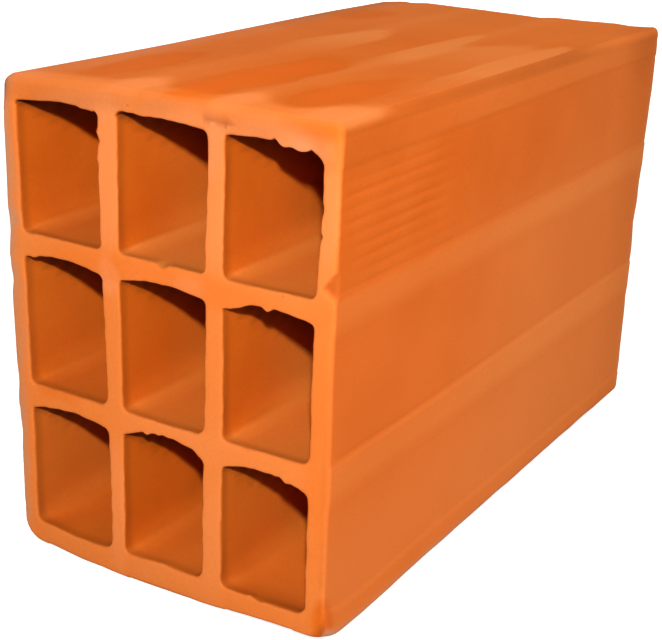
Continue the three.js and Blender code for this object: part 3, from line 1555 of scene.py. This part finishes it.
    def sleeve(self, shell: Shell, loop: Loop) -> dict[End, tuple[np.ndarray, np.ndarray]]:
        """Adds the wall that a loop sweeps from one cut to the other.

        Args:
            shell: The mesh so far.
            loop: The outline or a cell's edge.

        Returns:
            For each end, the indices and places of the ring on the cut.
        """
        fine = loop.cell is None
        pitch = self.skin_pitch if fine else self.lining_pitch
        near = [run for run in self.near_runs if fine or run < self.lip_reach]
        count = math.ceil((self.half - near[-1]) / pitch)
        far = [near[-1] + (self.half - near[-1]) * i / count for i in range(1, count + 1)]
        thin = loop if fine else loop.thinned()
        stations = [(loop, station) for station in round_stations()]
        stations += [(loop, Station(run)) for run in near]
        stations += [(thin, Station(run)) for run in far]
        front, back = self.cuts
        rings = [self.ring(shape, station, front) for shape, station in stations]
        rings += [self.ring(shape, station, back) for shape, station in stations[-2::-1]]
        indices = [shell.add_points(*ring) for ring in rings]
        for one, other in zip(indices, indices[1:]):
            shell.join_rings(one, other)
        return {End.FRONT: (indices[0], rings[0][0]), End.BACK: (indices[-1], rings[-1][0])}

    def cap(self, shell: Shell, edges: list[tuple[np.ndarray, np.ndarray]], cut: WireCut) -> None:
        """Closes one cut end.

        Args:
            shell: The mesh so far.
            edges: Indices and places of the rings on the cut, the outline's first.
            cut: Which cut.
        """
        loops = [places[:, [X, Z]] for _, places in edges]
        added, triangles = filled(loops, self.cut_grid)
        y = self.place_along(cut.sunk(added), cut.end)
        new = shell.add_points(at_depth(added, y), cut.paint(added, self.smear))
        faces = np.concatenate([*(ring for ring, _ in edges), new])[triangles]
        corners = np.vstack([*loops, added])[triangles]
        turn = np.cross(corners[:, 1] - corners[:, 0], corners[:, 2] - corners[:, 0])
        backward = turn * cut.end.value < 0
        faces[backward] = faces[backward][:, ::-1]
        shell.triangles.append(faces)

    def build(self) -> bpy.types.Object:
        """Builds the block's mesh.

        Returns:
            The new object, at the origin, with its paint masks.
        """
        shell = Shell()
        sleeves = [self.sleeve(shell, loop) for loop in (self.section.outline(), *self.cells)]
        for cut in self.cuts:
            self.cap(shell, [sleeve[cut.end] for sleeve in sleeves], cut)
        points, masks = np.vstack(shell.points), np.vstack(shell.masks)
        points = self.settling.settle(points, self.section, self.low[Y])
        for chip in self.chips:
            chip.bite(points, masks)
        for flake in self.flakes:
            flake.bite(points, masks, self.low[Y])
        shell.points, shell.masks = [np.clip(points, self.low, self.high)], [masks]
        return placed("fired_block", shell.mesh("fired_block"))


# ---- Finishes ----


def linear(hex_colour: str) -> tuple[float, float, float, float]:
    """Turns an sRGB colour such as "#d96f32" into Blender's linear colour, with alpha 1."""
    digits = hex_colour.lstrip("#")
    parts = [int(digits[i : i + 2], 16) / 255 for i in (0, 2, 4)]
    flat = [p / 12.92 if p <= 0.04045 else ((p + 0.055) / 1.055) ** 2.4 for p in parts]
    return (*flat, 1.0)


@dataclass
class Wiring:
    """Builds the nodes of one material or world."""

    owner: bpy.types.Material | bpy.types.World

    def __post_init__(self) -> None:
        """Starts with no nodes."""
        self.owner.use_nodes = True
        self.owner.node_tree.nodes.clear()

    def add(self, kind: str, inputs: dict | None = None, **settings: object) -> bpy.types.Node:
        """Adds a node with its settings and links.

        Args:
            kind: The node's type name, without "ShaderNode".
            inputs: Input name or index to a value, or to the output socket that drives it.
            settings: Values of the node's own settings.

        Returns:
            The node.
        """
        node = self.owner.node_tree.nodes.new("ShaderNode" + kind)
        for name, value in settings.items():
            setattr(node, name, value)
        for key, value in (inputs or {}).items():
            if isinstance(value, Socket):
                self.owner.node_tree.links.new(value, node.inputs[key])
            else:
                node.inputs[key].default_value = value
        return node

    def reckon(self, operation: str, first: Socket, second: Socket | float) -> Socket:
        """Adds, multiplies or compares two numbers, as the operation says."""
        return self.add("Math", {0: first, 1: second}, operation=operation).outputs[0]

    def layered(self, base: Socket, *layers: tuple[Socket, str | Socket]) -> Socket:
        """Lays colours over one another.

        Args:
            base: The lowest colour.
            layers: For each layer from below, its share and its colour.

        Returns:
            The resulting colour.
        """
        for share, over in layers:
            top = linear(over) if isinstance(over, str) else over
            base = self.add("Mix", {0: share, 6: base, 7: top}, data_type="RGBA").outputs[2]
        return base

    def lens_rays(self) -> Socket:
        """1 for rays from the camera, straight, mirrored or through glass, and 0 for light."""
        path = self.add("LightPath").outputs
        seen = self.reckon("MAXIMUM", path["Is Camera Ray"], path["Is Glossy Ray"])
        return self.reckon("MAXIMUM", seen, path["Is Transmission Ray"])


@dataclass(frozen=True)
class FiredClay:
    """Porous red brick clay, unglazed: drawn through a die, wire cut, and fired to orange.

    To the eye it has no gloss at all. Its orange is deepest on the drawn skin, lighter where the
    wire tore it open and dusty where it was rubbed; dark brown is painted where shade falls.

    Attributes:
        cloud: Size of the slow changes of tone.
        sand: Size of the grains.
        die_line: Spacing of the lines that the die drew along the skin.
        wire_line: Spacing of those that the wire dragged down the cuts.
    """

    body: str = "#d56624"
    body_warm: str = "#ce601e"
    deep: str = "#dc6320"
    pale: str = "#df7e3f"
    cut_face: str = "#e67a34"
    cut_pale: str = "#e67e3b"
    cut_dry: str = "#f0884a"
    cut_rich: str = "#e66c1c"
    lining: str = "#e06b1c"
    lining_warm: str = "#d46215"
    lining_dust: str = "#e68236"
    # Broken places take this darker tone; on the notch in the front's right edge, which faces the light,
    # it is painted shade that makes it look like the side.
    fresh_break_and_shade: str = "#c05a1f"
    worn: str = "#cf8f68"
    # The dark brown of painted shade: in the cells, along arrises and at the cuts' edges.
    painted_shade: str = "#6e3412"
    roughness: float = 0.9
    specular_level: float = 0.0
    ior: float = 1.5
    cloud: float = 42.0
    # Real grains are 0.1 to 0.5 mm: they are drawn coarser, so that they show.
    sand: float = 1.1
    die_line: float = 2.2
    wire_line: float = 1.8

    def material(self) -> bpy.types.Material:
        """Makes the clay's material.

        Returns:
            The material.
        """
        made = bpy.data.materials.new("fired_clay_unglazed")
        w = Wiring(made)
        mask = {name: w.add("Attribute", attribute_name=name).outputs["Fac"] for name in MASKS}
        place = w.add("TexCoord").outputs["Object"]
        mm = w.add("VectorMath", {0: place, "Scale": 1 / MM}, operation="SCALE").outputs[0]
        along = w.add("VectorMath", {0: mm, 1: (1, 0.035, 1)}, operation="MULTIPLY").outputs[0]
        down = w.add("VectorMath", {0: mm, 1: (1, 1, 0.05)}, operation="MULTIPLY").outputs[0]
        cloud, sand, die_lines, wire_lines = (
            w.add("TexNoise", {"Vector": at, "Scale": 1 / size, "Detail": detail, "Roughness": rough})
            for at, size, detail, rough in (
                (mm, self.cloud, 3.0, 0.5),
                (mm, self.sand, 2.0, 0.6),
                (along, self.die_line, 2.0, 0.5),
                (down, self.wire_line, 2.0, 0.5),
            )
        )
        tone = w.add("MapRange", {"Value": cloud.outputs[0], "From Min": 0.35, "From Max": 0.65})
        skin, lining, cut = (
            w.layered(linear(low), (tone.outputs[0], high))
            for low, high in (
                (self.body_warm, self.body),
                (self.lining_warm, self.lining),
                (self.cut_face, self.cut_pale),
            )
        )
        groove = w.reckon("MULTIPLY", mask["groove"], 0.25)
        skin = w.layered(skin, (groove, self.deep), (mask["deep"], self.deep), (mask["pale"], self.pale))
        lining = w.layered(lining, (mask["pale"], self.lining_dust))
        cut = w.layered(cut, (mask["pale"], self.cut_dry), (mask["deep"], self.cut_rich))
        # The last layer is painted shade.
        colour = w.layered(
            skin,
            (mask["lining"], lining),
            (mask["cut"], cut),
            (mask["broken"], self.fresh_break_and_shade),
            (mask["worn"], self.worn),
            (mask["painted_shade"], self.painted_shade),
        )
        value = w.add(
            "MapRange",
            {"Value": sand.outputs[0], "From Min": 0.25, "From Max": 0.75, "To Min": 0.96, "To Max": 1.04},
        )
        grained = w.add("VectorMath", {0: colour, "Scale": value.outputs[0]}, operation="SCALE")
        skin_height = w.reckon("MULTIPLY", die_lines.outputs[0], 0.3)
        cut_height = w.reckon("MULTIPLY", wire_lines.outputs[0], 0.5)
        lines = w.add("Mix", {0: mask["cut"], 2: skin_height, 3: cut_height})
        height = w.reckon("ADD", w.reckon("MULTIPLY", sand.outputs[0], 0.5), lines.outputs[0])
        bump = w.add("Bump", {"Strength": 0.35, "Distance": 0.2 * MM, "Height": height})
        shader = w.add(
            "BsdfPrincipled",
            {
                "Base Color": grained.outputs[0],
                "Roughness": self.roughness,
                "Normal": bump.outputs[0],
                "IOR": self.ior,
                "Specular IOR Level": self.specular_level,
            },
        )
        w.add("OutputMaterial", {"Surface": shader.outputs[0]})
        return made


# ---- Studio ----


def toward(azimuth: float, elevation: float) -> Vector:
    """Unit direction to a place seen at an azimuth and elevation, in degrees, 0 in front."""
    a, e = math.radians(azimuth), math.radians(elevation)
    return Vector((math.sin(a) * math.cos(e), -math.cos(a) * math.cos(e), math.sin(e)))


@dataclass(frozen=True)
class Lamp:
    """A round soft lamp.

    Attributes:
        name: What it is called.
        place: Where it hangs.
        target: What it faces.
        size: How wide it is.
        level: How bright it makes a white surface at the target that faces it, 1 for white.
    """

    name: str
    place: tuple[float, float, float]
    target: tuple[float, float, float]
    size: float
    level: float

    def hang(self) -> None:
        """Puts the lamp in the scene."""
        away = (Vector(self.place) - Vector(self.target)) * MM
        light = bpy.data.lights.new(self.name, "AREA")
        light.shape = "DISK"
        light.size = self.size * MM
        light.energy = self.level * math.pi**2 * away.length_squared
        lamp = placed(self.name, light)
        lamp.location = Vector(self.place) * MM
        lamp.rotation_euler = away.to_track_quat("Z", "Y").to_euler()
        lamp.visible_camera = False


@dataclass(frozen=True)
class Viewpoint:
    """The camera: its place, where it looks and its lens."""

    place: tuple[float, float, float] = (284.6, -502.2, 275.8)
    heading: float = 31.05
    pitch: float = 19.95
    roll: float = 2.0
    lens: float = 75.1
    sensor: float = 36.0

    def stand(self) -> None:
        """Puts the camera in the scene and makes it the scene's own."""
        data = bpy.data.cameras.new("camera")
        data.lens = self.lens
        data.sensor_width = self.sensor
        data.sensor_fit = "HORIZONTAL"
        data.clip_start = 10 * MM
        camera = placed("camera", data)
        turn = toward(self.heading, self.pitch).to_track_quat("Z", "Y").to_matrix().to_4x4()
        roll = Matrix.Rotation(math.radians(self.roll), 4, "Z")
        camera.matrix_world = Matrix.Translation(Vector(self.place) * MM) @ turn @ roll
        bpy.context.scene.camera = camera


@dataclass(frozen=True)
class Studio:
    """A plain white floor and a plain pale room round it.

    Attributes:
        floor_reach: How far the floor reaches.
        floor_drop: How far it lies below the block, so that the two don't touch.
        floor_colour: Its paint.
        shown_white: How bright it is shown near the block, beside the light it gets.
        fade_reach: Ramp over which it is shown as full white.
        ambient: Strength of the room's even light.
    """

    floor_reach: float = 6000.0
    floor_drop: float = 0.05
    floor_colour: str = "#a8a6a4"
    shown_white: float = 0.85
    fade_reach: Ramp = (400, 1600)
    ambient: float = 0.05

    def floor(self) -> bpy.types.Object:
        """Lays the floor."""
        reach, drop = self.floor_reach * MM, self.floor_drop * MM
        signs = ((-1, -1), (1, -1), (1, 1), (-1, 1))
        corners = [(across * reach, along * reach, -drop) for across, along in signs]
        mesh = bpy.data.meshes.new("floor")
        mesh.from_pydata(corners, [], [(0, 1, 2, 3)])
        floor = placed("floor", mesh)
        floor.data.materials.append(self.floor_paint())
        return floor

    def floor_paint(self) -> bpy.types.Material:
        """Matt white paint that the camera sees as white, with the block's shadow kept on it."""
        made = bpy.data.materials.new("matt_white_floor_paint")
        w = Wiring(made)
        paint = w.add("BsdfDiffuse", {"Color": linear(self.floor_colour)})
        place = w.add("TexCoord").outputs["Object"]
        away = w.add("VectorMath", {0: place}, operation="LENGTH").outputs["Value"]
        # The lamps fade with distance, so the paint is shown brighter towards the horizon.
        near, far = (reach * MM for reach in self.fade_reach)
        white = w.add(
            "MapRange",
            {0: away, "From Min": near, "From Max": far, "To Min": self.shown_white, "To Max": 1.0},
        )
        glow = w.add("Emission", {"Color": (1, 1, 1, 1), "Strength": white.outputs[0]})
        shown = w.add("AddShader", {0: paint.outputs[0], 1: glow.outputs[0]})
        mixed = w.add("MixShader", {0: w.lens_rays(), 1: paint.outputs[0], 2: shown.outputs[0]})
        w.add("OutputMaterial", {"Surface": mixed.outputs[0]})
        return made

    def air(self) -> None:
        """Fills the room with even light, and shows it to the camera as white."""
        world = bpy.data.worlds.new("studio_air")
        bpy.context.scene.world = world
        w = Wiring(world)
        level = w.add("MapRange", {"Value": w.lens_rays(), "To Min": self.ambient, "To Max": 1.0})
        sky = w.add("Background", {"Color": (1, 1, 1, 1), "Strength": level.outputs[0]})
        w.add("OutputWorld", {"Surface": sky.outputs[0]})


FRONT_MIDDLE = (0, -145, 95)
LAMPS = (
    Lamp("key", (334, -581, 410), FRONT_MIDDLE, 25, 1.15),
    Lamp("front_softbox", (-800, -1700, 200), FRONT_MIDDLE, 800, 0.17),
    Lamp("top_softbox", (0, 300, 2600), (0, 0, 190), 1200, 0.57),
    Lamp("right_softbox", (2000, 250, 500), (70, 0, 95), 1000, 0.45),
    Lamp("rear_softbox", (-1400, 1900, 400), (-30, 145, 95), 1200, 0.95),
)


# ---- What this block has been through ----

# Hollows in the left skin behind the front cut: height, reach up and down, and depth.
DENTS = ((128, 10, 1.1), (109, 6, 0.7), (68, 7, 0.8), (48, 8, 0.6), (10, 7, 0.5))
SHIFTS = (
    Shift(Z, 0.6, Zone(y=(-120, -50), z=(34, 4))),
    Shift(Z, 0.3, Zone(y=(5, 115), z=(34, 4))),
    Shift(Z, 1.6, Zone((50, 70), (-85, 105), (10, 50, 172, 186))),
    Shift(Z, -0.9, Zone(x=(-20, -62), z=(150, 184))),
    Shift(Z, 1.5, Zone((-20, -62), (-85, 105), (150, 184))),
    *(
        Shift(X, depth, Zone((-60, -70), (-75, -145), (height - reach, height, height, height + reach)))
        for height, reach, depth in DENTS
    ),
)
LIP_FLAWS = (
    LipFlaw(2, 2, Lip.TOP, 4.0, 3.4, 1.0),
    LipFlaw(2, 2, Lip.TOP, 9.5, 5.5, 0.9),
    LipFlaw(2, 2, Lip.TOP, 14.0, 1.6, -0.6),
    LipFlaw(2, 2, Lip.RIGHT, 6.5, 4.0, -0.6),
    LipFlaw(2, 2, Lip.RIGHT, -3.2, 1.6, -1.2),
    LipFlaw(1, 2, Lip.TOP, -0.4, 2.8, 1.4),
    LipFlaw(1, 2, Lip.TOP, -15.5, 9.0, 1.7),
    LipFlaw(1, 0, Lip.TOP, -13.5, 3.0, 0.7),
    LipFlaw(2, 1, Lip.BOTTOM, 0.4, 3.2, -1.4),
    LipFlaw(0, 2, Lip.TOP, 6.6, 1.8, -0.4),
    LipFlaw(0, 2, Lip.TOP, 9.4, 2.2, 0.7),
    LipFlaw(0, 1, Lip.TOP, -7.5, 2.2, 0.7),
    LipFlaw(0, 1, Lip.TOP, -2.0, 1.8, 0.5),
    LipFlaw(2, 0, Lip.TOP, -18.0, 8.0, -0.9, 9.0),
    LipFlaw(2, 0, Lip.TOP, 13.5, 9.0, 0.6),
    LipFlaw(2, 1, Lip.TOP, -16.0, 9.0, -0.9, 9.0),
    LipFlaw(2, 2, Lip.TOP, 0.5, 1.6, -0.6),
    LipFlaw(0, 1, Lip.TOP, 13.0, 5.0, -0.9, 6.0),
    LipFlaw(2, 0, Lip.RIGHT, 19.0, 1.8, 0.9),
    LipFlaw(2, 0, Lip.RIGHT, 15.0, 1.8, -0.9),
    LipFlaw(2, 0, Lip.RIGHT, 9.0, 2.2, 0.5),
    LipFlaw(0, 2, Lip.BOTTOM, -5.5, 2.2, 0.9),
    LipFlaw(0, 2, Lip.BOTTOM, -1.0, 2.4, -0.6),
)
CHIPS = (Chip((24.5, -144.9, 183.0), (8.0, 1.7, 1.7), (0, 1, 0), seed=56),)
FLAKES = (
    # The notch in the front's right edge; its darker paint is painted shade.
    Flake(((64.8, 133.6), (76.0, 127.5), (74.0, 145.5)), 1.3, seed=51),
    Flake(((61.0, -2.0), (78.0, -2.0), (73.5, 20.5)), 0.9, seed=52, ragged=0.4, soft=3.5),
)
CUT_TONES = (
    CutTone((0, 123), (85, 9), rich=0.45),
    CutTone((22, 65), (60, 8), dry=0.25),
    CutTone((68, 75), (8, 58), rich=0.35),
    CutTone((-23, 155), (8, 45), dry=0.8),
    CutTone((23, 158), (8, 40), dry=0.6),
    CutTone((67, 158), (7, 34), dry=0.7),
    CutTone((-23, 30), (8, 40), dry=0.6),
    CutTone((23, 30), (8, 34), dry=0.3),
    # Painted shade along the cut's top edge, which the lamps light brightly.
    CutTone((-35, 188), (65, 11), shaded=0.26),
    CutTone((35, 188), (45, 10), shaded=0.2),
    CutTone((63, 188), (19, 7.5), rich=1.0),
    # Painted shade down the cut's left edge, turned from the light: darker and greyer.
    CutTone((-74, 110), (11, 130), shaded=0.12, worn=0.6),
    CutTone((-74, 30), (11, 50), worn=0.5),
    CutTone((-75, 145), (10, 55), worn=0.55),
    CutTone((-72, 188.5), (8, 9), shaded=0.3, worn=0.5),
    # Painted shade along the cut's right edge, with a fuller orange at its foot.
    CutTone((70.5, 7), (5, 18), rich=1.0, shaded=0.12),
    CutTone((71.3, 55), (3.5, 75), shaded=0.15),
    CutTone((47, 181.5), (30, 7), dry=0.5, worn=0.2),
    CutTone((55, 179.5), (9, 6), worn=0.25),
    # Painted shade by the upper right corner.
    CutTone((64, 177), (7, 6), shaded=0.13),
    CutTone((8, 183), (22, 6.5), dry=0.5, worn=0.15),
    CutTone((-30, 182), (26, 6.5), dry=0.6, worn=0.12),
    CutTone((21, 174), (6.5, 13), worn=0.2),
    CutTone((-23.5, 120), (7, 8), dry=1.2, worn=0.12),
    CutTone((-10, 123.5), (12, 5.5), dry=0.4),
    CutTone((12, 123), (10, 5.5), dry=0.9, worn=0.1),
    # A fuller orange with a little painted shade.
    CutTone((-50, 68.5), (15, 5.5), rich=0.6, shaded=0.04),
)
FRONT_CUT = WireCut(End.FRONT, CUT_TONES, (1.2, 1.4, 4.6, 0.9), wave=0.7, sink=0.15, corner=((0, 0.15),))
BACK_CUT = WireCut(
    End.BACK,
    CUT_TONES,
    (1.2, 0.4, 1.4, 1.1),
    wave=0.3,
    sink=3.9,
    corner=((20, 4.0), (64, 4.9), (76, 3.8), (90, 5.3), (103, 2.8), (128, 1.7), (147, 1.0), (156, 0)),
    fray=0.4,
    rim=(
        (-71, 17.0), (-67, 13.0), (-62, 6.0), (-55, 5.6), (-50, 0.4), (-29, 0), (-14, 1.0),
        (1, 3.0), (14, 5.4), (21, 0.6), (50, 0), (60, 4.4), (69, 1.0),
    ),
    edge_wear=0.25,
)
WEAR_AND_SHADE = (
    # Painted shade: the upper arrises are darkened against the highlight they catch, and stretches of the
    # right face and top are darkened.
    WearAndShade(PAINTED_SHADE, 0.32, Part.UPPER_RIGHT_ARRIS),
    WearAndShade(PAINTED_SHADE, 0.10, Part.UPPER_RIGHT_ARRIS, Zone(y=(-120, -50)), patchy=True),
    WearAndShade(PAINTED_SHADE, -0.34, Part.UPPER_RIGHT_ARRIS, Zone(y=(30, 90))),
    WearAndShade(PAINTED_SHADE, 0.12, Part.UPPER_LEFT_ARRIS),
    WearAndShade(PAINTED_SHADE, 0.06, Part.RIGHT, Zone(y=(-50, -140))),
    WearAndShade(PAINTED_SHADE, 0.12, Part.RIGHT, Zone(y=(-50, -140), z=(165, 180))),
    WearAndShade(PAINTED_SHADE, 0.11, Part.RIGHT, Zone(y=(90, 135))),
    WearAndShade(PAINTED_SHADE, 0.13, Part.SKIN, Zone((52, 68), (90, 130), (155, 185))),
    WearAndShade(PAINTED_SHADE, 0.25, Part.TOP, Zone((-50, -68), (0, 60))),
    WearAndShade(WORN, 0.45, Part.LOWER_RIGHT_ARRIS),
    WearAndShade(WORN, 0.50, Part.LEFT_ARRISES),
    WearAndShade(WORN, 0.40, Part.TOP, Zone((-50, -68)), patchy=True),
    WearAndShade(WORN, 0.07, Part.TOP, Zone((10, -60))),
    WearAndShade(WORN, 0.035, Part.RIGHT_PANELS, Zone(y=(-80, -20)), Zone(z=(140, 128))),
    WearAndShade(WORN, 0.65, Part.FLANKS, Zone(z=(6, 1)), patchy=True),
    WearAndShade(PALE, 0.42, Part.SIDES, Zone(z=(80, 25))),
    WearAndShade(PALE, 0.52, Part.SIDES, Zone(y=(-90, 30), z=(150, 115))),
    WearAndShade(PALE, -0.26, Part.SIDES, Zone(y=(-90, 30), z=(80, 25))),
    WearAndShade(PALE, 0.28, Part.SIDES, Zone(y=(-20, 100), z=(115, 150))),
    WearAndShade(PALE, 0.24, Part.TOP),
    WearAndShade(PALE, 0.25, Part.TOP, Zone(y=(10, 110))),
    WearAndShade(PALE, 0.20, Part.UNDERSIDE),
)
TONES = (
    Patch(Face.TOP, (64, -20), (11, 70), 1.4, 0.75, 0.2, trail=0.9),
    Patch(Face.TOP, (45, -4), (34, 52), 0.55, 0.7, trail=0.9),
    Patch(Face.TOP, (21, -12), (9, 68), 0.8, 0.75, 0.2, trail=0.95),
    Patch(Face.TOP, (-19, 0), (13, 48), 0.8, 0.7, trail=0.95),
    Patch(Face.TOP, (-44, -90), (14, 52), -0.7, 0.2, 0.5),
    Patch(Face.TOP, (2, -85), (15, 68), -0.95, 0.2, 0.5),
    Patch(Face.TOP, (43, -100), (15, 40), -0.7, 0.2, 0.5),
    Patch(Face.TOP, (6, -134), (13, 18), -0.8),
    Patch(Face.RIGHT, (7, -145), (18, 9), -1.0, 0.1),
    Patch(Face.TOP, (-50, 76), (16, 30), -0.35),
)
# Painted shade deep on the left wall of the upper right cell.
SHADE_PATCHES = (
    ShadePatch((2, 2), (68, 146), (11, 15), 0.85),
    ShadePatch((2, 2), (64, 108), (8, 7), 0.3),
)
COMB_MARKS = (
    Patch(Face.LEFT, (104, 40), (24, 120), 0.9),
    Patch(Face.LEFT, (40, -90), (18, 70), 0.8),
    Patch(Face.UNDERSIDE, (10, 60), (50, 110), 0.8),
    Patch(Face.RIGHT, (160, -108), (19, 58), 1.3, 0.3),
    Patch(Face.RIGHT, (141, -98), (11, 40), 1.2, 0.3),
    Patch(Face.RIGHT, (158, -142), (24, 20), 0.5, 0.3),
)


def main() -> None:
    """Builds the block and its studio, and reports each piece."""
    logging.basicConfig(level=logging.INFO, format="%(name)s: %(message)s")
    bpy.context.scene.view_settings.view_transform = "Standard"

    brick = HollowBrick(
        low=np.array(CAD_LOW) / MM,
        high=np.array(CAD_HIGH) / MM,
        comb=Comb(COMB_MARKS),
        cuts=(FRONT_CUT, BACK_CUT),
        smear=Smear(),
        skin=SkinTone(WEAR_AND_SHADE, TONES),
        lining=LiningTone(SHADE_PATCHES),
        settling=Settling(SHIFTS),
        flaws=LIP_FLAWS,
        chips=CHIPS,
        flakes=FLAKES,
    )
    block = brick.build()
    block.data.materials.append(FiredClay().material())
    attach(block, BODY)
    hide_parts(NODE)
    triangles = sum(len(face.vertices) - 2 for face in block.data.polygons)
    log.info("%s: %d points, %d triangles", block.name, len(block.data.vertices), triangles)

    studio = Studio()
    studio.floor()
    studio.air()
    for lamp in LAMPS:
        lamp.hang()
        log.info("lamp %s", lamp.name)
    Viewpoint().stand()


if __name__ == "__main__":
    main()
